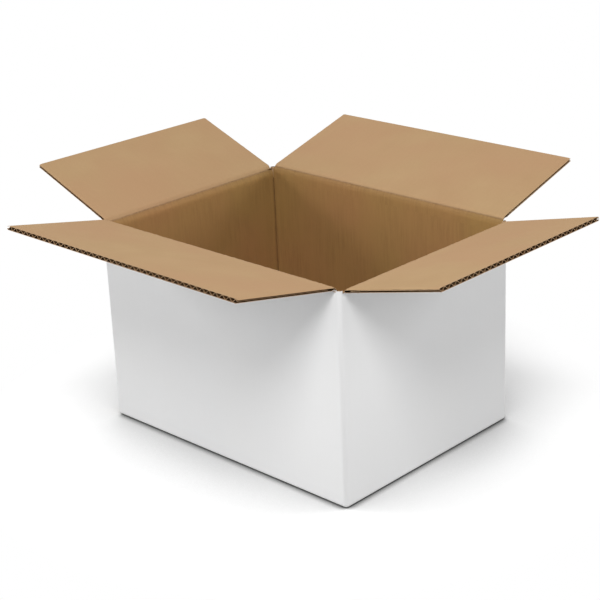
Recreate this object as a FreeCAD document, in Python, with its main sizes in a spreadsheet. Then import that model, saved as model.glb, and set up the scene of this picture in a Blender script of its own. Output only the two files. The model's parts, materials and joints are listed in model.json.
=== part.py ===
# Regular slotted carton, standing open: a folded and glued body with four hinged top flaps.
# Millimetres. X runs along the long walls, Y along the short walls, Z up.
# The origin is the middle of the face that the carton stands on.
import FreeCAD, Part
import os
import re
import Sketcher

# Sizes that can be set by themselves: name, value, what it is.
DRIVING = [
    ("inner_length", 305.0, "inside length, between the short walls"),
    ("inner_width", 229.0, "inside width, between the long walls"),
    ("wall_height", 204.0, "standing face to the hinge line of a short flap"),
    ("board", 4.0, "thickness of the corrugated board"),
    ("liner", 0.4, "thickness of one facing of the board"),
    ("web", 0.5, "fluted paper between two channels, along the board"),
    ("crest", 0.4, "fluted paper between a channel and the far facing"),
    ("crest_half", 0.5, "half of the flat on a flute's crest"),
    ("flute_pitch", 7.8, "one flute to the next"),
    ("side_groove", 1.6, "depth of the flute that a flap's side cut opens"),
    ("crush_length", 14.0, "flattened board next to a hinge line, with no channels"),
    ("slot_inset", 4.5, "outer face of a wall to the side edge of the next flap"),
    ("slot_play", 0.4, "side edge of a flap to the corner beside its hinge"),
    ("fold_radius", 4.0, "outside radius of the upright folds"),
    ("foot_radius", 2.5, "outside radius of the folds at the bottom"),
    ("foot_rise", 1.2, "how far the short walls' bottom folds stand clear of the floor"),
    ("long_score", 1.6, "outer face to the hinge line, long flaps"),
    ("short_score", 0.6, "outer face to the hinge line, short flaps"),
    ("long_taper", 14.0, "degrees between outer face and hinge line, long flaps"),
    ("short_taper", 6.5, "degrees between outer face and hinge line, short flaps"),
    ("bevel", 44.0, "degrees between inner face and hinge line, all flaps"),
    ("knuckle_radius", 0.5, "rounded edge of the wall along the hinge line"),
    ("hinge_gap", 0.3, "knuckle to the flap's own edge"),
    ("lap_gap", 0.3, "closed long flaps above closed short ones"),
    ("seam_gap", 1.5, "between the free edges of two long flaps that meet"),
    ("short_trim", 8.0, "how much shorter the short walls' flaps are than the long walls'"),
    ("lip_height", 9.0, "part of a wall's height that holds the hinge's shape"),
    ("side_gap", 0.5, "inner bottom flap to the long walls"),
    ("tab_width", 35.0, "glue tab, from the short wall's inner face"),
    ("tab_thickness", 3.0, "glue tab, pressed flat"),
    ("tab_clearance", 6.0, "glue tab to the floor, and to the closed flaps"),
    ("tab_slant", 15.0, "degrees that the glue tab's ends slope"),
    ("joint_setback", 1.5, "cut edge of the front wall, in from the left wall's outer face"),
    ("front_long_angle", 11.9, "degrees above level, front long flap"),
    ("back_long_angle", 16.1, "degrees above level, back long flap"),
    ("right_short_angle", 13.7, "degrees above level, right short flap"),
    ("left_short_angle", 21.2, "degrees above level, left short flap"),
]

# Sizes that follow from them.
DERIVED = [
    ("half_length", "=inner_length / 2 + board"),
    ("half_width", "=inner_width / 2 + board"),
    ("floor_top", "=2 * board"),
    ("short_hinge_x", "=half_length - short_score"),
    ("short_hinge_z", "=wall_height"),
    ("long_hinge_y", "=half_width - long_score"),
    ("long_hinge_z", "=wall_height + short_score + lap_gap + board - long_score"),
    ("corner_height", "=wall_height - knuckle_radius"),
    ("lip_base", "=wall_height - lip_height"),
    ("long_flap_half", "=half_length - slot_inset"),
    ("short_flap_half", "=half_width - slot_inset"),
    ("long_lip_half", "=long_flap_half + slot_play"),
    ("short_lip_half", "=short_flap_half + slot_play"),
    ("long_flap_length", "=long_hinge_y - seam_gap / 2"),
    ("short_flap_length", "=long_flap_length - short_trim"),
    ("floor_flap_end", "=inner_length / 2 - short_flap_length"),
    ("tab_base", "=floor_top + tab_clearance"),
    ("tab_top", "=wall_height + short_score - board - tab_clearance"),
]

least_change = 1.0  # cubic millimetres that a Pad or a Pocket has to add or cut

doc = FreeCAD.newDocument("carton")
sizes = doc.addObject("Spreadsheet::Sheet", "sizes")
for row, (name, value, note) in enumerate(DRIVING, 1):
    sizes.set(f"A{row}", note)
    sizes.set(f"B{row}", str(value))
    sizes.setAlias(f"B{row}", name)
for row, (name, formula) in enumerate(DERIVED, len(DRIVING) + 1):
    sizes.set(f"B{row}", formula)
    sizes.setAlias(f"B{row}", name)
doc.recompute()


def size(expression):
    return float(sizes.evalExpression(expression))


def bound(expression):
    # The same words, with each size's name looked up in the sheet.
    names = {row[0] for row in DRIVING + DERIVED}
    return re.sub("[a-z_]+", lambda word: f"sizes.{word[0]}" if word[0] in names else word[0], expression)


def plane(body, role):
    return next(item for item in body.Origin.OriginFeatures if item.Role == role)


def new_body(label):
    body = doc.addObject("PartDesign::Body", label)
    body.Label = label
    return body


def new_sketch(body, name, role, offset="0"):
    sketch = body.newObject("Sketcher::SketchObject", name)
    sketch.AttachmentSupport = [(plane(body, role), "")]
    sketch.MapMode = "FlatFace"
    sketch.setExpression("AttachmentOffset.Base.z", bound(offset))
    return sketch


def place_point(sketch, element, corner, at):
    for kind, expression in zip(("DistanceX", "DistanceY"), at):
        number = sketch.addConstraint(Sketcher.Constraint(kind, -1, 1, element, corner, size(expression)))
        sketch.setExpression(f"Constraints[{number}]", bound(expression))


def outline(sketch, corners):
    # A closed run of straight lines; each corner is a pair of expressions.
    first = sketch.GeometryCount
    points = [FreeCAD.Vector(size(across), size(up), 0) for across, up in corners]
    count = len(points)
    for index in range(count):
        sketch.addGeometry(Part.LineSegment(points[index], points[(index + 1) % count]), False)
    for index in range(count):
        following = first + (index + 1) % count
        sketch.addConstraint(Sketcher.Constraint("Coincident", first + index, 2, following, 1))
        place_point(sketch, first + index, 1, corners[index])


def rectangle(sketch, left, right, low, high):
    outline(sketch, [(left, low), (right, low), (right, high), (left, high)])


def circle(sketch, across, up, radius):
    centre = FreeCAD.Vector(size(across), size(up), 0)
    up_axis = FreeCAD.Vector(0, 0, 1)
    number = sketch.addGeometry(Part.Circle(centre, up_axis, size(radius)), False)
    place_point(sketch, number, 3, (across, up))
    constraint = sketch.addConstraint(Sketcher.Constraint("Radius", number, size(radius)))
    sketch.setExpression(f"Constraints[{constraint}]", bound(radius))


def extrude(body, kind, name, sketch, length, backwards=False, both_ways=False):
    before = body.Shape.Volume if body.Tip else 0
    feature = body.newObject(f"PartDesign::{kind}", name)
    feature.Profile = sketch
    feature.setExpression("Length", bound(length))
    feature.Reversed = backwards
    if both_ways:
        feature.SideType = "Symmetric"
    doc.recompute()
    change = body.Shape.Volume - before
    if kind == "Pocket":
        change = -change
    if change < least_change:
        raise RuntimeError(f"{name} changes nothing")
    return feature


def fillet(body, name, base, radius, wanted):
    # wanted(edge) picks the edges by where they lie.
    doc.recompute()
    edges = [f"Edge{number}" for number, edge in enumerate(base.Shape.Edges, 1) if wanted(edge)]
    feature = body.newObject("PartDesign::Fillet", name)
    feature.Base = (base, edges)
    feature.setExpression("Radius", bound(radius))
    doc.recompute()
    return feature


def is_upright_fold(edge):
    # Every corner of the block, except the one where the sheet is joined to itself.
    box = edge.BoundBox
    at_join = box.Center.x < 0 and box.Center.y < 0
    return box.ZLength > size("corner_height") / 2 and not at_join


def is_foot(edge):
    return edge.BoundBox.ZMax < size("foot_radius") / 2


def lip_profile(outer, inner, hinge, score, taper, hinge_z, sign):
    # A wall's top edge, seen along the hinge line: tapered outside, bevelled inside.
    return [
        (f"{sign}{outer}", "lip_base"),
        (f"{sign}{outer}", f"{hinge_z} - {score} / tan({taper})"),
        (f"{sign}{hinge}", hinge_z),
        (f"{sign}{inner}", f"{hinge_z} - (board - {score}) / tan(bevel)"),
        (f"{sign}{inner}", "lip_base"),
    ]


def make_carton_body():
    body = new_body("carton_body")
    block_sketch = new_sketch(body, "block_sketch", "XY_Plane")
    rectangle(block_sketch, "-half_length", "half_length", "-half_width", "half_width")
    block = extrude(body, "Pad", "block", block_sketch, "corner_height")
    folds = fillet(body, "upright_folds", block, "fold_radius", is_upright_fold)
    fillet(body, "foot_folds", folds, "foot_radius", is_foot)

    inside = new_sketch(body, "inside_sketch", "XY_Plane", "corner_height")
    rectangle(inside, "-inner_length / 2", "inner_length / 2", "-inner_width / 2", "inner_width / 2")
    extrude(body, "Pocket", "inside", inside, "corner_height - floor_top")

    # Between the two inner bottom flaps the floor is one board lower, and beside them is a narrow gap.
    recess = new_sketch(body, "floor_recess_sketch", "XY_Plane", "floor_top")
    rectangle(recess, "-floor_flap_end", "floor_flap_end", "-inner_width / 2", "inner_width / 2")
    extrude(body, "Pocket", "floor_recess", recess, "board")
    beside = new_sketch(body, "floor_side_sketch", "XY_Plane", "floor_top")
    for side in ("", "-"):
        for end in ("", "-"):
            rectangle(
                beside, f"{end}floor_flap_end", f"{end}(inner_length / 2)",
                f"{side}(inner_width / 2 - side_gap)", f"{side}(inner_width / 2)",
            )
    extrude(body, "Pocket", "floor_sides", beside, "board")

    # The outer bottom flaps meet along the middle, and end short of the short walls' folds.
    seam = new_sketch(body, "seam_sketch", "XY_Plane")
    rectangle(seam, "-long_flap_half", "long_flap_half", "-seam_gap / 2", "seam_gap / 2")
    extrude(body, "Pocket", "seam", seam, "board", backwards=True)
    ends = new_sketch(body, "foot_ends_sketch", "XY_Plane")
    for end in ("", "-"):
        rectangle(ends, f"{end}long_flap_half", f"{end}(half_length + board)", "-half_width", "half_width")
    extrude(body, "Pocket", "foot_ends", ends, "foot_rise", backwards=True)

    # The front wall's cut edge lies beside the left wall, whose end folds inside it as the glue tab.
    join = new_sketch(body, "join_sketch", "XY_Plane")
    rectangle(
        join, "-half_length - board", "-half_length + joint_setback",
        "-half_width - board", "-inner_width / 2",
    )
    extrude(body, "Pocket", "join", join, "corner_height", backwards=True)
    tab = new_sketch(body, "glue_tab_sketch", "XZ_Plane", "inner_width / 2")
    outline(tab, [
        ("-inner_length / 2", "tab_base"),
        ("-inner_length / 2 + tab_width", "tab_base + tab_width * tan(tab_slant)"),
        ("-inner_length / 2 + tab_width", "tab_top - tab_width * tan(tab_slant)"),
        ("-inner_length / 2", "tab_top"),
    ])
    extrude(body, "Pad", "glue_tab", tab, "tab_thickness", backwards=True)

    # Wall tops between the slots are cut back, then built up again with the hinge's shape.
    tops = new_sketch(body, "wall_tops_sketch", "XY_Plane", "corner_height")
    for side in ("", "-"):
        rectangle(
            tops, "-long_lip_half", "long_lip_half",
            f"{side}(inner_width / 2)", f"{side}(half_width + board)",
        )
        rectangle(
            tops, f"{side}(inner_length / 2)", f"{side}(half_length + board)",
            "-short_lip_half", "short_lip_half",
        )
    extrude(body, "Pocket", "wall_tops", tops, "corner_height - lip_base")
    long_lips = new_sketch(body, "long_lips_sketch", "YZ_Plane")
    short_lips = new_sketch(body, "short_lips_sketch", "XZ_Plane")
    for side in ("", "-"):
        outline(long_lips, lip_profile(
            "half_width", "(inner_width / 2)", "long_hinge_y",
            "long_score", "long_taper", "long_hinge_z", side,
        ))
        outline(short_lips, lip_profile(
            "half_length", "(inner_length / 2)", "short_hinge_x",
            "short_score", "short_taper", "short_hinge_z", side,
        ))
    extrude(body, "Pad", "long_lips", long_lips, "2 * long_lip_half", both_ways=True)
    extrude(body, "Pad", "short_lips", short_lips, "2 * short_lip_half", both_ways=True)
    long_knuckles = new_sketch(body, "long_knuckles_sketch", "YZ_Plane")
    short_knuckles = new_sketch(body, "short_knuckles_sketch", "XZ_Plane")
    for side in ("", "-"):
        circle(long_knuckles, f"{side}long_hinge_y", "long_hinge_z", "knuckle_radius")
        circle(short_knuckles, f"{side}short_hinge_x", "short_hinge_z", "knuckle_radius")
    extrude(body, "Pad", "long_knuckles", long_knuckles, "2 * long_lip_half", both_ways=True)
    extrude(body, "Pad", "short_knuckles", short_knuckles, "2 * short_lip_half", both_ways=True)
    return body


def make_flap(label, half, length, score, taper, hinge_place, turn, angle):
    # The flap is drawn lying flat: the hinge line is X, Y runs out to the free edge, the inner face is up.
    body = new_body(label)
    top = f"(board - {score})"
    root = f"((knuckle_radius + hinge_gap) / cos((bevel + {taper}) / 2))"
    profile = new_sketch(body, f"{label}_profile", "YZ_Plane")
    outline(profile, [
        (f"{root} * cos({taper})", f"-{root} * sin({taper})"),
        (f"{score} / tan({taper})", f"-{score}"),
        (length, f"-{score}"),
        (length, top),
        (f"{top} / tan(bevel)", top),
        (f"{root} * cos(bevel)", f"{root} * sin(bevel)"),
    ])
    extrude(body, "Pad", f"{label}_board", profile, f"2 * {half}", both_ways=True)

    # The flutes stand open along the free edge, and one is cut lengthways at each side edge.
    high = f"({top} - liner)"
    low = f"(liner - {score})"
    sides = new_sketch(body, f"{label}_side_flutes", "XZ_Plane", f"-{length}")
    for side in ("", "-"):
        rectangle(sides, f"{side}({half} - side_groove)", f"{side}({half} + board)", low, high)
    channel_length = f"{length} - crush_length"
    extrude(body, "Pocket", f"{label}_side_grooves", sides, channel_length, backwards=True)

    count = f"floor(2 * ({half} - side_groove - web) / flute_pitch)"
    wide = "(flute_pitch / 2 - crest_half - web)"
    pair = new_sketch(body, f"{label}_flute_pair", "XZ_Plane", f"-{length}")
    first = f"(-({count} - 1) / 2 * flute_pitch)"
    for shift, base, tip in (
        ("- flute_pitch / 4", high, f"{low} + crest"),
        ("+ flute_pitch / 4", low, f"{high} - crest"),
    ):
        middle = f"{first} {shift}"
        outline(pair, [
            (f"{middle} - {wide}", base),
            (f"{middle} + {wide}", base),
            (f"{middle} + crest_half", tip),
            (f"{middle} - crest_half", tip),
        ])
    channels = extrude(body, "Pocket", f"{label}_channels", pair, channel_length, backwards=True)
    pattern = body.newObject("PartDesign::LinearPattern", f"{label}_flutes")
    pattern.Originals = [channels]
    pattern.Direction = (plane(body, "X_Axis"), [""])
    pattern.Mode = "Spacing"
    pattern.setExpression("Offset", bound("flute_pitch"))
    pattern.setExpression("Occurrences", bound(count))
    body.Tip = pattern

    turned = f"rotation(vector(0; 0; 1); {turn}) * rotation(vector(1; 0; 0); {angle})"
    body.setExpression("Placement", bound(f"placement(vector({hinge_place}); {turned})"))
    doc.recompute()
    return body


parts = [make_carton_body()]
parts.append(make_flap(
    "front_long_flap", "long_flap_half", "long_flap_length", "long_score", "long_taper",
    "0; -long_hinge_y; long_hinge_z", 180, "front_long_angle",
))
parts.append(make_flap(
    "back_long_flap", "long_flap_half", "long_flap_length", "long_score", "long_taper",
    "0; long_hinge_y; long_hinge_z", 0, "back_long_angle",
))
parts.append(make_flap(
    "right_short_flap", "short_flap_half", "short_flap_length", "short_score", "short_taper",
    "short_hinge_x; 0; short_hinge_z", -90, "right_short_angle",
))
parts.append(make_flap(
    "left_short_flap", "short_flap_half", "short_flap_length", "short_score", "short_taper",
    "-short_hinge_x; 0; short_hinge_z", 90, "left_short_angle",
))

doc.recompute()
for item in doc.Objects:
    if {"Invalid", "Error"} & set(item.State):
        raise RuntimeError(f"{item.Name} has failed: {item.State}")
for body in parts:
    if body.Shape.isNull() or not body.Shape.isValid() or len(body.Shape.Solids) != 1:
        raise RuntimeError(f"{body.Label} is not one sound solid")

os.makedirs("parts", exist_ok=True)
for body in parts:
    body.Shape.exportStep(f"parts/{body.Label}.step")
    print(f"{body.Label}: {body.Shape.Volume / 1000:.1f} cm3")
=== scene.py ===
import json
import math
import bpy
from mathutils import Euler, Matrix, Vector


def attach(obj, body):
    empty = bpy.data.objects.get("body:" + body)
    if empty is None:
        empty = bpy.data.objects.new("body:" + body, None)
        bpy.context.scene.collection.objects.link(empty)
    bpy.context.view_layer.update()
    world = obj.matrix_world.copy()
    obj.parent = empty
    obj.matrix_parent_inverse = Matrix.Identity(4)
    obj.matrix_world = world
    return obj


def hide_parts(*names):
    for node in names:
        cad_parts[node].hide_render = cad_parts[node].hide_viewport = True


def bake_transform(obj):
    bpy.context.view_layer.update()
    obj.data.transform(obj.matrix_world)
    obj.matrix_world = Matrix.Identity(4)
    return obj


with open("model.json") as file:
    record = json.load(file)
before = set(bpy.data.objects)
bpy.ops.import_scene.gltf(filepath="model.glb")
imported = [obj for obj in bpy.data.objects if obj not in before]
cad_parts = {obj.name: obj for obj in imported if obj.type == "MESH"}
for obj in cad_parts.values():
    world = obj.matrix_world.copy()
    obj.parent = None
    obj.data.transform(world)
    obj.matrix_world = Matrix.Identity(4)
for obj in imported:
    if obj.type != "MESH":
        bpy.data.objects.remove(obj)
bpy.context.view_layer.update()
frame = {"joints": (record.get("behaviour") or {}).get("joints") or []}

mm = 0.001
hair = 0.01 * mm      # two places this near are the same
joints = {joint["child"]: joint for joint in frame["joints"]}

wallHeight = 204 * mm
board = {
    "thickness": 4 * mm,
    "facing": 0.32 * mm,
    "flutePaper": 0.36 * mm,
    "pitch": 7.8 * mm,
    "stepsPerFlute": 12,
    "flutesShort": 2.0 * mm,    # the flutes stop this far from the hinge side, pressed flat there
    "flattened": 0.15,
    # the knife that cut the side edges pressed them: how far in from the edge, and by how much
    "pinchFrom": 2.4 * mm,
    "pinch": ((1.3 * mm, 0.35 * mm), (0.9 * mm, 0.35 * mm)),
    "pinchedFlutes": ((2.6 * mm, 0.80), (1.4 * mm, 0.70)),
    "smoothAngle": math.radians(35),
}

# ---- hand tools


def report(text):
    print("carton:", text)


def leaveEdit():
    if bpy.context.object and bpy.context.object.mode != "OBJECT":
        bpy.ops.object.mode_set(mode="OBJECT")


def clearSelection():
    leaveEdit()
    bpy.ops.object.select_all(action="DESELECT")


def makeActive(piece):
    clearSelection()
    piece.select_set(True)
    bpy.context.view_layer.objects.active = piece


def startPiece(name):
    # the primitive that was just added
    piece = bpy.context.object
    piece.name = name
    piece.data.name = name
    return piece


def edit(piece):
    makeActive(piece)
    bpy.ops.object.mode_set(mode="EDIT")
    bpy.ops.mesh.select_mode(type="VERT")


def pick(piece, kind, wanted):
    # selects vertices, edges or faces by their place, and stays in edit mode
    bpy.ops.mesh.select_mode(type=kind)
    bpy.ops.mesh.select_all(action="DESELECT")
    bpy.ops.object.mode_set(mode="OBJECT")
    mesh = piece.data
    places = [vertex.co for vertex in mesh.vertices]
    if kind == "VERT":
        for vertex in mesh.vertices:
            vertex.select = wanted(vertex.co)
    elif kind == "EDGE":
        for edge in mesh.edges:
            edge.select = wanted(places[edge.vertices[0]], places[edge.vertices[1]])
    else:
        for face in mesh.polygons:
            face.select = wanted(face.center, face.normal)
    bpy.ops.object.mode_set(mode="EDIT")


def move(x=0.0, y=0.0, z=0.0):
    bpy.ops.transform.translate(value=(x, y, z))


def applyAll(piece):
    makeActive(piece)
    for modifier in list(piece.modifiers):
        bpy.ops.object.modifier_apply(modifier=modifier.name)


def applyPlace(piece):
    makeActive(piece)
    bpy.ops.object.transform_apply(location=True, rotation=True, scale=True)


def thicken(piece, thickness, offset, even=True, back=True):
    # the rim is a pale cut, and behind a facing shows bare fluting paper, painted dark with the shade of its
    # channels
    solid = piece.modifiers.new("paper", "SOLIDIFY")
    solid.thickness = thickness
    solid.offset = offset
    solid.use_even_offset = even
    piece.data.materials.append(paper["cut"])
    solid.material_offset_rim = 1
    if back:
        piece.data.materials.append(paper["shadedMedium"])
        solid.material_offset = 2
    applyAll(piece)


def cut(at, direction):
    # new edges all over the mesh where a plane meets it
    bpy.ops.mesh.select_all(action="SELECT")
    bpy.ops.mesh.bisect(plane_co=at, plane_no=direction, use_fill=False)


def finishPiece(piece):
    # one skin, faces outwards, soft only where the angle is small
    edit(piece)
    bpy.ops.mesh.select_all(action="SELECT")
    bpy.ops.mesh.remove_doubles(threshold=hair)
    bpy.ops.mesh.normals_make_consistent(inside=False)
    makeActive(piece)
    bpy.ops.object.shade_smooth_by_angle(angle=board["smoothAngle"])
    return piece


def faceTowards(piece, direction):
    # an open sheet has to look the right way before it gets its thickness
    total = sum((face.normal * face.area for face in piece.data.polygons), Vector())
    if total.dot(Vector(direction)) < 0:
        edit(piece)
        bpy.ops.mesh.select_all(action="SELECT")
        bpy.ops.mesh.flip_normals()
    leaveEdit()


def layPattern(piece, place):
    # a map in metres: u runs across the flutes and v along them
    layer = piece.data.uv_layers.active or piece.data.uv_layers.new(name="boardMap")
    places = [vertex.co for vertex in piece.data.vertices]
    for face in piece.data.polygons:
        for corner in face.loop_indices:
            point = places[piece.data.loops[corner].vertex_index]
            layer.data[corner].uv = place(point, face.normal)


def mark(piece, name, amount):
    # a number at each point for the materials, such as how dark a score's line is there: crushed paper, darkened
    # further with painted shade
    marks = piece.data.attributes.get(name) or piece.data.attributes.new(name, "FLOAT", "POINT")
    marks.data.foreach_set("value", [amount(vertex.co) for vertex in piece.data.vertices])


def drawProfile(name, points):
    # a bent line, drawn point by point; its last point stays selected
    bpy.ops.mesh.primitive_plane_add(size=mm, location=points[0])
    piece = startPiece(name)
    applyPlace(piece)
    edit(piece)
    bpy.ops.mesh.select_all(action="SELECT")
    bpy.ops.mesh.merge(type="CENTER")
    for here, there in zip(points, points[1:]):
        step = Vector(there) - Vector(here)
        bpy.ops.mesh.extrude_region_move(TRANSFORM_OT_translate={"value": step})
    return piece


# ---- shader groups


def newGroup(name, inputs, outputs):
    group = bpy.data.node_groups.new(name, "ShaderNodeTree")
    for label, kind, value in inputs:
        socket = group.interface.new_socket(name=label, in_out="INPUT", socket_type=kind)
        if value is not None:
            socket.default_value = value
    for label, kind in outputs:
        group.interface.new_socket(name=label, in_out="OUTPUT", socket_type=kind)
    return group, group.nodes.new("NodeGroupInput"), group.nodes.new("NodeGroupOutput")


def calculate(tree, operation, first, second=None):
    node = tree.nodes.new("ShaderNodeMath")
    node.operation = operation
    for socket, value in zip(node.inputs, (first, second)):
        if value is None:
            continue
        if isinstance(value, (int, float)):
            socket.default_value = value
        else:
            tree.links.new(value, socket)
    return node.outputs[0]


def stretch(tree, vector, scale):
    node = tree.nodes.new("ShaderNodeMapping")
    node.inputs["Scale"].default_value = scale
    tree.links.new(vector, node.inputs["Vector"])
    return node.outputs["Vector"]


def noise(tree, vector, scale, detail, roughness=0.5):
    node = tree.nodes.new("ShaderNodeTexNoise")
    node.inputs["Scale"].default_value = scale
    node.inputs["Detail"].default_value = detail
    node.inputs["Roughness"].default_value = roughness
    tree.links.new(vector, node.inputs["Vector"])
    return node.outputs["Fac"]


def ramp(tree, value, low, high, toLow=0.0, toHigh=1.0):
    node = tree.nodes.new("ShaderNodeMapRange")
    node.inputs["From Min"].default_value = low
    node.inputs["From Max"].default_value = high
    node.inputs["To Min"].default_value = toLow
    node.inputs["To Max"].default_value = toHigh
    tree.links.new(value, node.inputs["Value"])
    return node.outputs["Result"]


def makeFibreGroup():
    # short fibres that lie mostly along the paper's run, and dark specks of bark
    group, inside, out = newGroup("paperFibre", [("Map", "NodeSocketVector", None)],
                                  [("Fibre", "NodeSocketFloat"), ("Speck", "NodeSocketFloat")])
    long = noise(group, stretch(group, inside.outputs["Map"], (420, 1900, 1)), 1.0, 3, 0.6)
    cross = noise(group, stretch(group, inside.outputs["Map"], (1700, 620, 1)), 1.0, 2, 0.6)
    fibre = calculate(group, "ADD", calculate(group, "MULTIPLY", long, 0.6),
                      calculate(group, "MULTIPLY", cross, 0.4))
    speck = noise(group, stretch(group, inside.outputs["Map"], (260, 620, 1)), 1.0, 2, 0.7)
    group.links.new(fibre, out.inputs["Fibre"])
    group.links.new(ramp(group, speck, 0.68, 0.78), out.inputs["Speck"])
    return group


def makeWashboardGroup():
    # the facing sinks a little between the crests of the flutes, and shows streaks along them
    group, inside, out = newGroup(
        "washboard", [("Map", "NodeSocketVector", None), ("Pitch", "NodeSocketFloat", board["pitch"])],
        [("Crest", "NodeSocketFloat"), ("Streak", "NodeSocketFloat")])
    split = group.nodes.new("ShaderNodeSeparateXYZ")
    group.links.new(inside.outputs["Map"], split.inputs[0])
    turns = calculate(group, "DIVIDE", split.outputs["X"], inside.outputs["Pitch"])
    sway = noise(group, stretch(group, inside.outputs["Map"], (30, 8, 1)), 1.0, 1)
    phase = calculate(group, "ADD", turns, calculate(group, "MULTIPLY", sway, 0.35))
    wave = calculate(group, "COSINE", calculate(group, "MULTIPLY", phase, 2 * math.pi))
    group.links.new(ramp(group, wave, -1, 1), out.inputs["Crest"])
    fine = noise(group, stretch(group, inside.outputs["Map"], (430, 30, 1)), 1.0, 3, 0.6)
    broad = noise(group, stretch(group, inside.outputs["Map"], (120, 7, 1)), 1.0, 2, 0.5)
    streak = calculate(group, "ADD", calculate(group, "MULTIPLY", fine, 0.65),
                       calculate(group, "MULTIPLY", broad, 0.35))
    group.links.new(ramp(group, streak, 0.42, 0.60), out.inputs["Streak"])
    return group


def makeMottleGroup():
    # slow clouds of lighter and redder paper
    group, inside, out = newGroup("paperMottle", [("Place", "NodeSocketVector", None)],
                                  [("Cloud", "NodeSocketFloat"), ("Tint", "NodeSocketFloat")])
    group.links.new(ramp(group, noise(group, inside.outputs["Place"], 26, 4, 0.55), 0.3, 0.7),
                    out.inputs["Cloud"])
    group.links.new(ramp(group, noise(group, inside.outputs["Place"], 11, 2, 0.5), 0.35, 0.65),
                    out.inputs["Tint"])
    return group


def mixColour(tree, factor, first, second):
    node = tree.nodes.new("ShaderNodeMix")
    node.data_type = "RGBA"
    for socket, value in ((node.inputs[0], factor), (node.inputs[6], first), (node.inputs[7], second)):
        if isinstance(value, bpy.types.NodeSocket):
            tree.links.new(value, socket)
        elif isinstance(value, tuple):
            socket.default_value = (*value, 1)
        else:
            socket.default_value = value
    return node.outputs[2]


def placeGroup(tree, group, source, label):
    node = tree.nodes.new("ShaderNodeGroup")
    node.node_tree = group
    tree.links.new(source, node.inputs[label])
    return node.outputs


paperGroups = {"fibre": makeFibreGroup(), "washboard": makeWashboardGroup(), "mottle": makeMottleGroup()}


def makePaper(name, finish):
    material = bpy.data.materials.new(name)
    material.use_nodes = True
    tree = material.node_tree
    shader = tree.nodes["Principled BSDF"]
    place = tree.nodes.new("ShaderNodeTexCoord")
    fibre = placeGroup(tree, paperGroups["fibre"], place.outputs["UV"], "Map")
    flute = placeGroup(tree, paperGroups["washboard"], place.outputs["UV"], "Map")
    mottle = placeGroup(tree, paperGroups["mottle"], place.outputs["Object"], "Place")
    fold = tree.nodes.new("ShaderNodeAttribute")
    fold.attribute_name = "fold"
    # how far a point takes the painted shade of the box's inside
    inside = tree.nodes.new("ShaderNodeAttribute")
    inside.attribute_name = "inside"

    colour = mixColour(tree, ramp(tree, mottle["Cloud"], 0, 1, 0, finish["cloud"]),
                       finish["colour"], finish["pale"])
    colour = mixColour(tree, ramp(tree, mottle["Tint"], 0, 1, 0, finish["tint"]), colour, finish["warm"])
    # painted shade: where the inside mark is 1 the kraft takes the darker deep brown that stands for the shade
    # inside the box
    deep = mixColour(tree, mottle["Tint"], finish["deep"], finish["deepWarm"])
    colour = mixColour(tree, inside.outputs["Fac"], colour, deep)
    colour = mixColour(tree, ramp(tree, fibre["Fibre"], 0.35, 0.65, 0, finish["fibre"]),
                       colour, finish["dark"])
    colour = mixColour(tree, ramp(tree, flute["Crest"], 0, 1, 0, finish["crest"]), colour, finish["dark"])
    streak = calculate(tree, "MULTIPLY", flute["Streak"], ramp(
        tree, inside.outputs["Fac"], 0, 1, finish["streak"], finish["deepStreak"]))
    streak = calculate(tree, "MULTIPLY", streak, ramp(tree, mottle["Cloud"], 0.2, 0.8, 0.3, 1))
    colour = mixColour(tree, streak, colour, finish["crushedAndShaded"])
    colour = mixColour(tree, ramp(tree, fibre["Speck"], 0, 1, 0, finish["speck"]), colour, finish["dark"])
    # painted shade on the creases: the crushed score line darkened further with the shade of its valley, and
    # painted shade on the shoulder below it
    crushedAndShaded = calculate(tree, "MULTIPLY", ramp(tree, fold.outputs["Fac"], 0.3, 1, 0, finish["fold"]),
                        ramp(tree, flute["Streak"], 0, 1, 0.6, 1))
    colour = mixColour(tree, crushedAndShaded, colour, finish["crushedAndShaded"])
    tree.links.new(colour, shader.inputs["Base Color"])

    rough = ramp(tree, fibre["Fibre"], 0.3, 0.7, finish["roughness"] - 0.06, finish["roughness"] + 0.06)
    tree.links.new(rough, shader.inputs["Roughness"])
    height = calculate(tree, "ADD", calculate(tree, "MULTIPLY", fibre["Fibre"], finish["fibreHeight"]),
                       calculate(tree, "MULTIPLY", flute["Crest"], finish["crestHeight"]))
    streaks = calculate(tree, "MULTIPLY", flute["Streak"], finish["streakHeight"])
    height = calculate(tree, "ADD", height, streaks)
    bump = tree.nodes.new("ShaderNodeBump")
    bump.inputs["Strength"].default_value = finish["bump"]
    bump.inputs["Distance"].default_value = 0.1 * mm
    tree.links.new(height, bump.inputs["Height"])
    tree.links.new(bump.outputs["Normal"], shader.inputs["Normal"])
    shader.inputs["Specular IOR Level"].default_value = finish["specular"]
    return material


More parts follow.
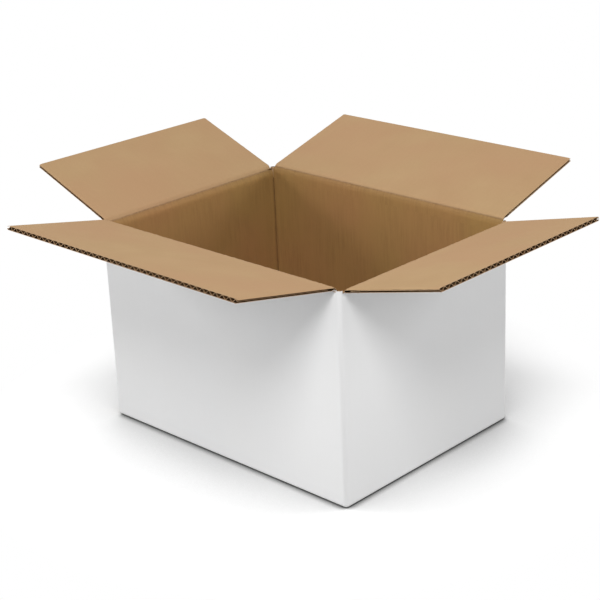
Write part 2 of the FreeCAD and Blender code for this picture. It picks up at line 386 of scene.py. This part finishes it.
kraft = {
    "colour": (0.427, 0.276, 0.141), "pale": (0.460, 0.306, 0.160), "warm": (0.440, 0.262, 0.142),
    # deep and deepWarm are painted shade: the kraft made darker inside the box, where less light reaches
    "dark": (0.280, 0.165, 0.074), "deep": (0.336, 0.198, 0.064), "deepWarm": (0.350, 0.184, 0.068),
    "crushedAndShaded": (0.130, 0.069, 0.026),
    "cloud": 0.8, "tint": 0.7, "fibre": 0.12, "crest": 0.012, "streak": 0.012, "deepStreak": 0.20,
    "speck": 0.30, "fold": 0.85, "fibreHeight": 0.5, "crestHeight": 0.12, "streakHeight": 0.12, "bump": 0.35,
    "roughness": 0.80, "specular": 0.22,
}
whiteCoat = {
    "colour": (0.868, 0.870, 0.873), "pale": (0.882, 0.882, 0.882), "warm": (0.870, 0.866, 0.860),
    "dark": (0.790, 0.788, 0.782), "deep": (0.868, 0.868, 0.868), "deepWarm": (0.868, 0.868, 0.868),
    "crushedAndShaded": (0.560, 0.550, 0.535),
    "cloud": 0.6, "tint": 0.4, "fibre": 0.08, "crest": 0.02, "streak": 0.006, "deepStreak": 0.006,
    "speck": 0.04, "fold": 0.35, "fibreHeight": 0.25, "crestHeight": 0.4, "streakHeight": 0.02, "bump": 0.2,
    "roughness": 0.56, "specular": 0.35,
}
# the fluting paper's brown, painted much darker: painted shade of the channels between the facings
shadedMedium = {
    **kraft, "colour": (0.110, 0.056, 0.021), "pale": (0.130, 0.068, 0.027), "warm": (0.110, 0.050, 0.018),
    "dark": (0.060, 0.030, 0.011), "streak": 0.0, "streakHeight": 0.0, "crest": 0.0, "crestHeight": 0.0,
    "roughness": 0.85,
}
cutPaper = {
    **kraft, "colour": (0.500, 0.335, 0.190), "pale": (0.560, 0.390, 0.235), "fibre": 0.35,
    "dark": (0.320, 0.190, 0.092), "crest": 0.0, "crestHeight": 0.0, "bump": 0.6, "roughness": 0.88,
    "streak": 0.0, "streakHeight": 0.0,
}
paper = {
    "white": makePaper("whiteFacing", whiteCoat), "kraft": makePaper("kraftFacing", kraft),
    "shadedMedium": makePaper("flutedMediumShaded", shadedMedium), "cut": makePaper("cutPaper", cutPaper),
}
report("papers made")

# ---- one sheet of board: two facings and the fluted paper between them


def makeFacing(name, half, near, far, height, up, face, seed, ragged):
    # flat, with its hinge side at y = near and its free edge at y = far
    columns = round(2 * half / (4 * mm))
    rows = round((far - near) / (2 * mm))
    bpy.ops.mesh.primitive_grid_add(x_subdivisions=columns, y_subdivisions=rows, size=1)
    piece = startPiece(name)
    piece.scale = (2 * half, far - near, 1)
    piece.location = (0, (near + far) / 2, height)
    applyPlace(piece)
    piece.data.materials.append(face)
    edit(piece)
    if ragged:
        for side in (-1, 1):
            pick(piece, "VERT", lambda place: place.x * side > half - hair)
            move(x=-side * ragged)
            bpy.ops.transform.vertex_random(offset=ragged, uniform=0, normal=0, seed=seed + side)
            bpy.ops.transform.resize(value=(1, 1, 0), center_override=(0, 0, height))
    for side in (-1, 1):
        cut((side * (half - board["pinchFrom"]), 0, 0), (1, 0, 0))
        cut((side * (half - board["pinchFrom"] / 2), 0, 0), (1, 0, 0))
        for inset, depth in board["pinch"]:
            pick(piece, "VERT", lambda at: at.x * side > half - inset)
            move(z=-up * depth)
    faceTowards(piece, (0, 0, up))
    layPattern(piece, lambda place, normal: (place.x, place.y))
    thicken(piece, board["facing"], -1)
    return finishPiece(piece)


def makeFlutes(name, half, near, far, low, high):
    # one sheet of paper in waves, with its crests on both facings, pressed flat at the hinge side
    steps = board["stepsPerFlute"]
    step = board["pitch"] / steps
    count = round(2 * (half - 0.4 * mm) / step)
    width = count * step
    swing = (high - low - board["flutePaper"]) / 2
    middle = (high + low) / 2
    bpy.ops.mesh.primitive_grid_add(x_subdivisions=count, y_subdivisions=8, size=1)
    piece = startPiece(name)
    piece.scale = (width, far - near, 1)
    piece.location = (0, (near + far) / 2, middle)
    applyPlace(piece)
    piece.data.materials.append(paper["shadedMedium"])
    edit(piece)
    for place in range(steps):
        angle = 2 * math.pi * place / steps
        pick(piece, "VERT", lambda at: round((at.x + width / 2) / step) % steps == place)
        move(z=swing * math.sin(angle))
    pick(piece, "VERT", lambda at: at.y < near + 0.5 * mm)
    bpy.ops.transform.resize(value=(1, 1, board["flattened"]), center_override=(0, 0, middle))
    for inset, squeeze in board["pinchedFlutes"]:
        pick(piece, "VERT", lambda at: abs(at.x) > half - inset and at.y > near + mm)
        bpy.ops.transform.resize(value=(1, 1, squeeze), center_override=(0, 0, middle))
    faceTowards(piece, (0, 0, 1))
    layPattern(piece, lambda place, normal: (place.x, place.y))
    thicken(piece, board["flutePaper"], 0, back=False)
    return finishPiece(piece)


def makeSheet(name, half, near, far, outerHeight, seed, ragged):
    # the kraft side is up and the white side down
    inner = outerHeight + board["thickness"]
    return {
        "kraft": makeFacing(f"{name}_inner_facing", half, near, far, inner, 1, paper["kraft"], seed, ragged),
        "white": makeFacing(f"{name}_outer_facing", half, near, far, outerHeight, -1, paper["white"],
                            seed + 5, ragged),
        "shadedMedium": makeFlutes(f"{name}_flutes", half, near + board["flutesShort"], far,
                             outerHeight + board["facing"], inner - board["facing"]),
    }


def putSheet(pieces, place, turn, lift, body, node=None):
    for kind, piece in pieces.items():
        piece.matrix_world = (Matrix.Translation(place) @ Euler((0, 0, turn)).to_matrix().to_4x4()
                              @ Euler((lift, 0, 0)).to_matrix().to_4x4())
        applyPlace(piece)
        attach(piece, body)
        if node:
            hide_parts(node)


# ---- the four top flaps

# score is how deep the hinge line lies under the white side, taper how the board thins towards it
longFlap = {"half": 152.0 * mm, "length": 116.15 * mm, "score": 1.6 * mm, "taper": 14.0, "ragged": 0.16 * mm}
shortFlap = {"half": 114.0 * mm, "length": 108.15 * mm, "score": 0.6 * mm, "taper": 6.5, "ragged": 0.16 * mm}
topFlaps = {
    "front_long_flap": {**longFlap, "turn": 180, "seed": 11},
    "back_long_flap": {**longFlap, "turn": 0, "seed": 23},
    "right_short_flap": {**shortFlap, "turn": -90, "seed": 37, "ragged": 0.34 * mm},
    "left_short_flap": {**shortFlap, "turn": 90, "seed": 41},
}
crease = {
    "lipBase": wallHeight - 9 * mm, "reach": 8.0 * mm, "bevel": 44.0, "paper": 0.3 * mm,
    "sidePlay": 0.4 * mm, "step": 2.6 * mm, "wobble": 0.32 * mm, "bendHalf": 0.45 * mm,
    "valley": 0.2 * mm, "knuckle": 0.55 * mm, "flapFrom": 1.6 * mm,
    # how the paper is darkened: the crushed line, with painted shade of its valley, painted shade on the
    # shoulder below it, and the wall side taking the painted shade of the box's inside
    "line": 1.9 * mm, "shoulder": 0.69, "shoulderReach": 12 * mm, "wallShade": 0.85, "wallReach": 40 * mm,
}


def restAngle(name):
    return math.radians(180 + joints[name]["range_deg"][0])


def makeTopFlap(name, flap):
    pieces = makeSheet(name, flap["half"], crease["reach"], flap["length"], -flap["score"], flap["seed"],
                       flap["ragged"])
    putSheet(pieces, joints[name]["pos_m"], math.radians(flap["turn"]), restAngle(name), name, name)


for name, flap in topFlaps.items():
    makeTopFlap(name, flap)
report("top flaps made")

# ---- the creases: paper that bends between a wall and its flap


def polar(radius, degrees):
    return Vector((0, radius * math.cos(math.radians(degrees)), radius * math.sin(math.radians(degrees))))


def innerProfile(flap, hingeHeight, angle):
    # from the wall's inner face over the score to the flap's inner face; y points out of the box
    deep = board["thickness"] - flap["score"]
    run = deep / math.tan(math.radians(crease["bevel"]))
    wall = [Vector((0, -deep, crease["lipBase"] - hingeHeight)), Vector((0, -deep, -run - 4.0 * mm)),
            Vector((0, -deep + 0.10 * mm, -run - 2.4 * mm)), Vector((0, -deep + 0.35 * mm, -run - 1.0 * mm)),
            Vector((0, -deep * 0.76, -run * 0.92))]
    wall += [Vector((0, -deep * share, -run * share)) for share in (0.52, 0.30, 0.16)]
    flat = [Vector((0, run * share, deep * share)) for share in (0.24, 0.42, 0.66)]
    flat += [Vector((0, run * 0.90, deep * 0.86)), Vector((0, run + 0.7 * mm, deep - 0.10 * mm)),
             Vector((0, run + 1.7 * mm, deep)), Vector((0, crease["reach"], deep))]
    turned = Euler((angle, 0, 0)).to_matrix()
    valley = polar(crease["valley"], -45 + math.degrees(angle) / 2)
    return wall + [valley] + [turned @ point for point in flat]


def outerProfile(flap, hingeHeight, angle):
    # the same on the white side, where the paper folds round the hinge line
    run = flap["score"] / math.tan(math.radians(flap["taper"]))
    tail = [(flap["score"], run + 1.2 * mm), (flap["score"] * 0.96, run - 0.5 * mm),
            (flap["score"] * 0.66, run * 0.70), (flap["score"] * 0.40, run * 0.42),
            (flap["score"] * 0.22, run * 0.24)]
    wall = [Vector((0, flap["score"], crease["lipBase"] - hingeHeight))]
    wall += [Vector((0, out, -down)) for out, down in tail]
    flat = [Vector((0, down, -out)) for out, down in reversed(tail)]
    flat += [Vector((0, crease["reach"], -flap["score"]))]
    turned = Euler((angle, 0, 0)).to_matrix()
    low, high = -90 + flap["taper"], math.degrees(angle) - flap["taper"]
    knuckle = [polar(crease["knuckle"], low + (high - low) * share) for share in (0.2, 0.5, 0.8)]
    return wall + knuckle + [turned @ point for point in flat]


def makeCrease(name, flap, side):
    hinge = Vector(joints[name]["pos_m"])
    angle = restAngle(name)
    profile = (innerProfile if side == "inner" else outerProfile)(flap, hinge.z, angle)
    wide = flap["half"] + crease["sidePlay"]
    piece = drawProfile(f"{name}_{side}_crease", [point + Vector((-wide, 0, 0)) for point in profile])
    bpy.ops.mesh.select_all(action="SELECT")
    bpy.ops.mesh.extrude_region_move(TRANSFORM_OT_translate={"value": (2 * wide, 0, 0)})
    pick(piece, "EDGE", lambda a, b: abs(a.x - b.x) > wide)
    bpy.ops.mesh.subdivide(number_cuts=round(2 * wide / crease["step"]))

    outwards = Vector((0, math.cos(math.pi / 4), math.sin(math.pi / 4)))
    pinch = sum(depth for inset, depth in board["pinch"]) * (-1 if side == "inner" else 1)
    for end in (-1, 1):
        pick(piece, "VERT", lambda at: at.x * end > wide - hair and at.dot(outwards) > 0.1 * mm)
        move(x=-end * crease["sidePlay"])
        pick(piece, "VERT", lambda at: at.x * end > flap["half"] - 0.1 * mm
             and at.dot(outwards) > crease["flapFrom"])
        move(y=-math.sin(angle) * pinch, z=math.cos(angle) * pinch)
    if side == "inner":
        # the score leaves a shoulder that is never quite straight
        shoulder = (board["thickness"] - flap["score"]) * 0.8
        pick(piece, "VERT", lambda at: 0.2 * mm < at.length and abs(at.y) < 3.6 * mm
             and shoulder * 0.2 < math.hypot(at.y, at.z) < 6.5 * mm and abs(at.x) < wide - mm)
        bpy.ops.transform.vertex_random(offset=crease["wobble"], uniform=0, normal=0, seed=flap["seed"])
    faceTowards(piece, (0, -1, 1) if side == "inner" else (0, 1, -1))
    layPattern(piece, lambda at, normal: (at.x, at.z if at.dot(outwards) < 0 else at.length))
    piece.data.materials.append(paper["kraft" if side == "inner" else "white"])
    thicken(piece, crease["paper"], -1)
    finishPiece(piece)

    # the crushed score line, darkened further with painted shade of its valley; on the wall side also painted
    # shade on the shoulder below the line
    def crushedAndShaded(at):
        away = math.hypot(at.y, at.z)
        onWall = side == "inner" and at.dot(outwards) <= 0
        shoulder = crease["shoulder"] - away / crease["shoulderReach"] if onWall else 0
        return max(0, 1 - away / crease["line"], shoulder)

    # painted shade: the wall side of the inner crease takes the darker brown of the box's inside, a little less
    # right at the line
    def wallShade(at):
        away = math.hypot(at.y, at.z)
        return 0 if at.dot(outwards) > 0 else min(1, crease["wallShade"] + away / crease["wallReach"])

    mark(piece, "fold", crushedAndShaded)
    if side == "inner":
        mark(piece, "inside", wallShade)
    turn = Euler((0, 0, math.radians(flap["turn"]))).to_matrix().to_4x4()
    piece.matrix_world = Matrix.Translation(hinge) @ turn
    applyPlace(piece)
    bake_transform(piece)


for name, flap in topFlaps.items():
    for side in ("inner", "outer"):
        makeCrease(name, flap, side)
report("creases made")

# ---- the four walls

walls = {
    "outer": (156.5 * mm, 118.5 * mm), "inner": (152.5 * mm, 114.5 * mm),
    "lipHalf": (152.4 * mm, 114.4 * mm), "lipBase": crease["lipBase"], "postTop": wallHeight + 2.6 * mm,
    "foldRadius": 4.0 * mm, "footRadius": 3.4 * mm, "footRise": 1.2 * mm, "footWidth": 4.5 * mm,
    "joinSetback": 1.5 * mm, "facing": 0.45 * mm, "fold": 1.6 * mm,
    "tuck": ((0.2, -0.4), (0.4, -0.2), (0.9, 0)),    # x and y steps in mm of the paper that tucks in at the join
    "base": 3 * mm,             # where the inner paper starts, inside the bottom
    "beads": ((2.4 * mm, 0.42 * mm), (4.2 * mm, 0.16 * mm)),   # pressed paper beside each inner corner
    "cuts": (1.0 * mm, 2.4 * mm, 4.2 * mm, 7.0 * mm),
}
cornerCore = {
    "low": 4 * mm, "below": 0.7 * mm, "inset": 0.5 * mm, "fold": 3.3 * mm, "rim": 0.4 * mm, "sunk": 0.8 * mm,
}


def wallMap(place, normal):
    if abs(normal.x) > abs(normal.y):
        return (place.y, place.z)
    return (place.x, place.z)


def makeOuterWrap():
    length, width = walls["outer"]
    top = walls["postTop"]
    bpy.ops.mesh.primitive_cube_add(size=1, location=(0, 0, top / 2), scale=(2 * length, 2 * width, top))
    piece = startPiece("outer_wrap")
    applyPlace(piece)
    edit(piece)
    pick(piece, "FACE", lambda place, normal: normal.z > 0.9)
    bpy.ops.mesh.delete(type="FACE")
    pick(piece, "EDGE", lambda a, b: abs(a.z - b.z) > top / 2 and not (a.x < 0 and a.y < 0))
    bpy.ops.mesh.bevel(offset=walls["foldRadius"], segments=7, affect="EDGES")
    pick(piece, "EDGE", lambda a, b: max(a.z, b.z) < hair)
    bpy.ops.mesh.bevel(offset=walls["footRadius"], segments=4, affect="EDGES")

    # the bottom stays only as the rim of the folds
    pick(piece, "FACE", lambda place, normal: normal.z < -0.99)
    bpy.ops.mesh.inset(thickness=walls["footWidth"] - walls["footRadius"])
    bpy.ops.mesh.delete(type="FACE")
    lip = length - walls["footWidth"]
    for end in (-1, 1):
        cut((end * lip, 0, 0), (1, 0, 0))
        pick(piece, "VERT", lambda at: at.x * end > lip - 0.02 * mm and at.z < 0.6 * mm)
        move(z=walls["footRise"])

    # wall tops end where the crease pieces begin, and the corners stand up between them
    lipX, lipY = walls["lipHalf"]
    cut((0, 0, walls["lipBase"]), (0, 0, 1))
    for end in (-1, 1):
        cut((end * lipX, 0, 0), (1, 0, 0))
        cut((0, end * lipY, 0), (0, 1, 0))
    pick(piece, "FACE", lambda place, normal: place.z > walls["lipBase"]
         and (abs(place.x) < lipX or abs(place.y) < lipY))
    bpy.ops.mesh.delete(type="FACE")

    # the join: the front wall's cut edge beside the left wall, which folds in behind it
    joinX, joinY = -length + walls["joinSetback"], -walls["inner"][1] + 0.6 * mm
    cut((joinX, 0, 0), (1, 0, 0))
    cut((0, joinY, 0), (0, 1, 0))
    pick(piece, "FACE", lambda place, normal: place.x < joinX and place.y < joinY)
    bpy.ops.mesh.delete(type="FACE")
    pick(piece, "EDGE", lambda a, b: max(a.x, b.x) < -length + 0.1 * mm and max(a.y, b.y) < joinY + 0.1 * mm
         and abs(a.z - b.z) > 0.1 * mm)
    for across, deep in walls["tuck"]:
        bpy.ops.mesh.extrude_region_move(TRANSFORM_OT_translate={"value": (across * mm, deep * mm, 0)})
    edit(piece)
    bpy.ops.mesh.select_all(action="SELECT")
    bpy.ops.mesh.remove_doubles(threshold=hair)
    bpy.ops.mesh.normals_make_consistent(inside=False)
    leaveEdit()
    piece.data.materials.append(paper["white"])
    layPattern(piece, wallMap)
    thicken(piece, walls["facing"], -1, even=False)
    finishPiece(piece)
    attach(piece, "carton")
    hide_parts("carton_body")


def makeInnerWrap():
    length, width = walls["inner"]
    top = walls["lipBase"]
    base = walls["base"]
    bpy.ops.mesh.primitive_cube_add(size=1, location=(0, 0, (top + base) / 2),
                                    scale=(2 * length, 2 * width, top - base))
    piece = startPiece("inner_wrap")
    applyPlace(piece)
    edit(piece)
    pick(piece, "FACE", lambda place, normal: abs(normal.z) > 0.9)
    bpy.ops.mesh.delete(type="FACE")
    # each inner corner is a sharp fold between two small beads of pressed paper
    for inset in walls["cuts"]:
        for end in (-1, 1):
            cut((end * (length - inset), 0, 0), (1, 0, 0))
            cut((0, end * (width - inset), 0), (0, 1, 0))
    for inset, bead in walls["beads"]:
        for end in (-1, 1):
            pick(piece, "VERT", lambda at: abs(abs(at.x) - (length - inset)) < 0.1 * mm
                 and at.y * end > width - 0.05 * mm)
            move(y=-end * bead)
            pick(piece, "VERT", lambda at: abs(abs(at.y) - (width - inset)) < 0.1 * mm
                 and at.x * end > length - 0.05 * mm)
            move(x=-end * bead)
    for height in range(12, 192, 8):
        cut((0, 0, height * mm), (0, 0, 1))
    edit(piece)
    bpy.ops.mesh.select_all(action="SELECT")
    bpy.ops.mesh.normals_make_consistent(inside=True)
    leaveEdit()
    piece.data.materials.append(paper["kraft"])
    layPattern(piece, wallMap)
    thicken(piece, walls["facing"], -1)
    finishPiece(piece)

    # the paper is darker towards each inner corner, fading out within the fold distance
    def cornerFold(at):
        near = math.hypot(length - abs(at.x), width - abs(at.y))
        return max(0, 1 - near / walls["fold"])

    mark(piece, "fold", cornerFold)
    # painted shade: all of the inside takes the deep brown
    mark(piece, "inside", lambda at: 1)
    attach(piece, "carton")


def makeCornerCores():
    # what the slots cut open: fluted paper crushed at the upright folds, and the raw edge at the join
    length, width = walls["outer"]
    innerX, innerY = walls["inner"]
    low, top = cornerCore["low"], walls["postTop"] - cornerCore["below"]
    inset = cornerCore["inset"]
    cores = []
    for endX in (-1, 1):
        for endY in (-1, 1):
            atJoin = endX < 0 and endY < 0
            far = length - (walls["joinSetback"] if atJoin else 0) - inset
            middle = (endX * (far + innerX) / 2, endY * (width - inset + innerY) / 2, (low + top) / 2)
            bpy.ops.mesh.primitive_cube_add(size=1, location=middle,
                                            scale=(far - innerX, width - inset - innerY, top - low))
            core = startPiece("corner_core")
            applyPlace(core)
            edit(core)
            if not atJoin:
                pick(core, "EDGE", lambda a, b: abs(a.z - b.z) > mm and abs(a.x) > innerX + mm
                     and abs(a.y) > innerY + mm)
                bpy.ops.mesh.bevel(offset=cornerCore["fold"], segments=5, affect="EDGES")
            pick(core, "FACE", lambda place, normal: normal.z > 0.9)
            bpy.ops.mesh.inset(thickness=cornerCore["rim"])
            bpy.ops.mesh.inset(thickness=cornerCore["rim"])
            move(z=-cornerCore["sunk"])
            leaveEdit()
            cores.append(core)
    clearSelection()
    for core in cores:
        core.select_set(True)
    bpy.context.view_layer.objects.active = cores[0]
    bpy.ops.object.join()
    piece = startPiece("corner_cores")
    piece.data.materials.append(paper["cut"])
    layPattern(piece, wallMap)
    finishPiece(piece)
    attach(piece, "carton")


makeOuterWrap()
makeInnerWrap()
makeCornerCores()
report("walls made")

# ---- the glue tab and the bottom

glueTab = {
    "width": 35 * mm, "thickness": 3 * mm, "low": 14 * mm, "high": wallHeight - 9.4 * mm,
    "slant": math.radians(15), "edge": 0.9 * mm,
}
# the outer pair lies on the floor under the long walls, and the inner pair on it
bottomOuter = {"half": 152.0 * mm, "length": 113.25 * mm, "wall": 114.0 * mm, "face": 0.0}
bottomInner = {"half": 114.0 * mm, "length": 108.15 * mm, "wall": 152.5 * mm, "face": 4.0 * mm}
bottomFlaps = {
    "front_bottom_flap": {**bottomOuter, "turn": 0, "out": (0, -1), "seed": 53},
    "back_bottom_flap": {**bottomOuter, "turn": 180, "out": (0, 1), "seed": 59},
    "left_bottom_flap": {**bottomInner, "turn": -90, "out": (-1, 0), "seed": 61},
    "right_bottom_flap": {**bottomInner, "turn": 90, "out": (1, 0), "seed": 67},
}


def makeGlueTab():
    innerX, innerY = walls["inner"]
    wide, thick = glueTab["width"], glueTab["thickness"]
    middle = (-innerX + wide / 2, -innerY + thick / 2, (glueTab["low"] + glueTab["high"]) / 2)
    bpy.ops.mesh.primitive_cube_add(size=1, location=middle,
                                    scale=(wide, thick, glueTab["high"] - glueTab["low"]))
    piece = startPiece("glue_tab")
    applyPlace(piece)
    edit(piece)
    drop = wide * math.tan(glueTab["slant"])
    for end in (-1, 1):
        pick(piece, "VERT", lambda at: at.x > middle[0] and (at.z - middle[2]) * end > 0)
        move(z=-end * drop)
    pick(piece, "EDGE", lambda a, b: min(a.y, b.y) > middle[1] and min(a.x, b.x) > -innerX - mm
         and not (max(a.x, b.x) < middle[0]))
    bpy.ops.mesh.bevel(offset=glueTab["edge"], segments=3, affect="EDGES")
    leaveEdit()
    piece.data.materials.append(paper["kraft"])
    layPattern(piece, wallMap)
    finishPiece(piece)
    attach(piece, "carton")


makeGlueTab()
for name, flap in bottomFlaps.items():
    pieces = makeSheet(name, flap["half"], 0.0, flap["length"], 0, flap["seed"], longFlap["ragged"])
    place = (flap["out"][0] * flap["wall"], flap["out"][1] * flap["wall"], flap["face"])
    putSheet(pieces, place, math.radians(flap["turn"]), 0, "carton")
report("bottom made")

# ---- floor, light and camera

studio = {
    "floorSize": 8, "floorGap": 0.3 * mm, "floorBounce": 0.42, "floorSeen": 1.12, "sky": 0.37,
    # contact and edgeLine set painted contact shade: ambient occlusion darkens the colour the camera sees on the
    # floor near the carton
    "contact": 0.16, "contactPower": 0.95,    # how far the carton still darkens the floor, and how fast
    "edgeLine": 0.010, "edgeDark": 0.3,       # the thin dark line right under the folds
    "darkest": 0.02, "shadeSamples": 12,
    "plainFrom": 0.19, "plainTo": 0.34,  # further out the floor looks plain white
    "lamps": (                          # azimuth, elevation, distance, size, watts
        ("frontLamp", 40, 49, 2.6, 1.1, 44.5),
        ("leftLamp", -60, 18, 2.6, 1.2, 35),
        ("rightLamp", 145, 18, 2.6, 1.2, 25.5),
    ),
    "aim": (0, 0, 0.12),
}
view = {
    "azimuth": 43.436, "elevation": 20.175, "roll": -2.096, "distance": 1522.43 * mm,
    "across": -19.76 * mm, "upwards": -146.86 * mm, "lens": 1511.69 / 600 * 36, "shift": (-0.05, -0.05),
}


def directionOf(azimuth, elevation):
    # from the middle of the carton; 0 looks square at the front wall and 90 at the right one
    turn, rise = math.radians(azimuth), math.radians(elevation)
    return Vector((math.sin(turn) * math.cos(rise), -math.cos(turn) * math.cos(rise), math.sin(rise)))


def seenRays(tree):
    # 1 for what the camera sees, also in a reflection or through glass, and 0 for the light itself
    light = tree.nodes.new("ShaderNodeLightPath")
    seen = calculate(tree, "MAXIMUM", light.outputs["Is Camera Ray"], light.outputs["Is Glossy Ray"])
    return calculate(tree, "MAXIMUM", seen, light.outputs["Is Transmission Ray"])


def makeFloor():
    bpy.ops.mesh.primitive_plane_add(size=studio["floorSize"], location=(0, 0, -studio["floorGap"]))
    floor = startPiece("studio_floor")
    applyPlace(floor)
    material = bpy.data.materials.new("studioFloor")
    material.use_nodes = True
    tree = material.node_tree
    tree.nodes.clear()
    seen = seenRays(tree)
    # painted contact shade: ambient occlusion darkens the floor's seen colour near the carton, on top of its
    # real shadows
    shade = tree.nodes.new("ShaderNodeAmbientOcclusion")
    shade.inputs["Distance"].default_value = studio["contact"]
    shade.samples = studio["shadeSamples"]
    bounce, shown = studio["floorBounce"], studio["floorSeen"]
    edge = tree.nodes.new("ShaderNodeAmbientOcclusion")
    edge.inputs["Distance"].default_value = studio["edgeLine"]
    edge.samples = studio["shadeSamples"]
    dim = calculate(tree, "MULTIPLY", calculate(tree, "POWER", shade.outputs["AO"], studio["contactPower"]),
                    ramp(tree, edge.outputs["AO"], 0.45, 0.85, studio["edgeDark"], 1))
    near = mixColour(tree, dim, (studio["darkest"],) * 3, (shown,) * 3)
    diffuse = tree.nodes.new("ShaderNodeBsdfDiffuse")
    tree.links.new(mixColour(tree, seen, (bounce,) * 3, near), diffuse.inputs["Color"])
    plain = tree.nodes.new("ShaderNodeEmission")
    plain.inputs["Color"].default_value = (1, 1, 1, 1)
    place = tree.nodes.new("ShaderNodeTexCoord")
    reach = tree.nodes.new("ShaderNodeVectorMath")
    reach.operation = "LENGTH"
    tree.links.new(place.outputs["Object"], reach.inputs[0])
    far = ramp(tree, reach.outputs["Value"], studio["plainFrom"], studio["plainTo"])
    blend = tree.nodes.new("ShaderNodeMixShader")
    tree.links.new(calculate(tree, "MULTIPLY", far, seen), blend.inputs["Fac"])
    tree.links.new(diffuse.outputs["BSDF"], blend.inputs[1])
    tree.links.new(plain.outputs["Emission"], blend.inputs[2])
    out = tree.nodes.new("ShaderNodeOutputMaterial")
    tree.links.new(blend.outputs["Shader"], out.inputs["Surface"])
    floor.data.materials.append(material)


def makeLight():
    world = bpy.data.worlds.new("studioSky")
    bpy.context.scene.world = world
    world.use_nodes = True
    tree = world.node_tree
    tree.nodes.clear()
    strength = ramp(tree, seenRays(tree), 0, 1, studio["sky"], 1.0)
    background = tree.nodes.new("ShaderNodeBackground")
    background.inputs["Color"].default_value = (1, 1, 1, 1)
    tree.links.new(strength, background.inputs["Strength"])
    out = tree.nodes.new("ShaderNodeOutputWorld")
    tree.links.new(background.outputs["Background"], out.inputs["Surface"])

    for name, azimuth, elevation, distance, size, watts in studio["lamps"]:
        place = Vector(studio["aim"]) + directionOf(azimuth, elevation) * distance
        bpy.ops.object.light_add(type="AREA", location=place)
        lamp = bpy.context.object
        lamp.name = name
        lamp.data.shape = "DISK"
        lamp.data.size = size
        lamp.data.energy = watts
        lamp.rotation_euler = (place - Vector(studio["aim"])).to_track_quat("Z", "Y").to_euler()


def makeCamera():
    azimuth, roll = math.radians(view["azimuth"]), math.radians(view["roll"])
    back = directionOf(view["azimuth"], view["elevation"])
    level = Vector((math.cos(azimuth), math.sin(azimuth), 0))
    rise = back.cross(level)
    right = level * math.cos(roll) + rise * math.sin(roll)
    up = rise * math.cos(roll) - level * math.sin(roll)
    place = back * view["distance"] - right * view["across"] - up * view["upwards"]
    bpy.ops.object.camera_add(location=place)
    camera = bpy.context.object
    camera.name = "photoCamera"
    camera.rotation_euler = Matrix((right, up, back)).transposed().to_euler()
    camera.data.sensor_width = 36
    camera.data.lens = view["lens"]
    camera.data.shift_x, camera.data.shift_y = view["shift"]
    bpy.context.scene.camera = camera


makeFloor()
makeLight()
makeCamera()
bpy.context.scene.view_settings.view_transform = "Standard"
clearSelection()
report("studio made")
